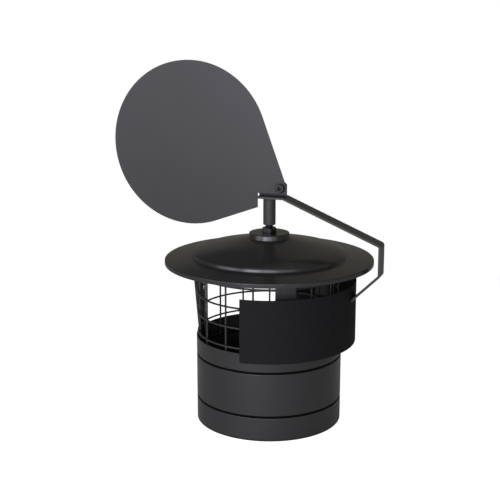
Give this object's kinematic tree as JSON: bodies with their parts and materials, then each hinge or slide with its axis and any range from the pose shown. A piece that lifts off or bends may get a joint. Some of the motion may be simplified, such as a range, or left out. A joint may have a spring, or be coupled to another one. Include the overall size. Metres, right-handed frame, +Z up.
{
  "type": "chimney cap",
  "caption": "Round chimney cap with a spigot, wire bird guard, spun hood and a wind vane that turns a half-round wind shield.",
  "frame": {"origin": "centre of the spigot's bottom edge", "axes": "+Z up along the spigot and the pivot; the vane's arm points along +X and its blade along -X at rest"},
  "size_m": [0.288, 0.2136, 0.3679],
  "materials": {
    "coated_sheet": "satin black heat-proof coating",
    "coated_wire": "satin black heat-proof coating",
    "coated_strap": "satin black heat-proof coating",
    "coated_vane": "matt black heat-proof coating",
    "coated_shield": "matt black heat-proof coating",
    "coated_hardware": "black coated steel hardware"
  },
  "bodies": {
    "cap": {"spigot": "coated_sheet", "bird_guard": "coated_wire", "leg_1": "coated_strap", "leg_2": "coated_strap", "leg_3": "coated_strap", "hood": "coated_sheet", "pivot_bolt": "coated_hardware", "pivot_washer": "coated_hardware", "lock_nut": "coated_hardware"},
    "vane": {"pivot_sleeve": "coated_vane", "vane_arm": "coated_strap", "vane_lug": "coated_vane", "vane_blade": "coated_vane", "blade_screw": "coated_hardware", "blade_washer": "coated_hardware", "blade_nut": "coated_hardware", "wind_shield": "coated_shield"}
  },
  "joints": [
    {"name": "vane_turn", "type": "hinge", "parent": "cap", "child": "vane", "pos_m": [0, 0, 0.218], "axis": [0, 0, 1], "continuous": true}
  ]
}
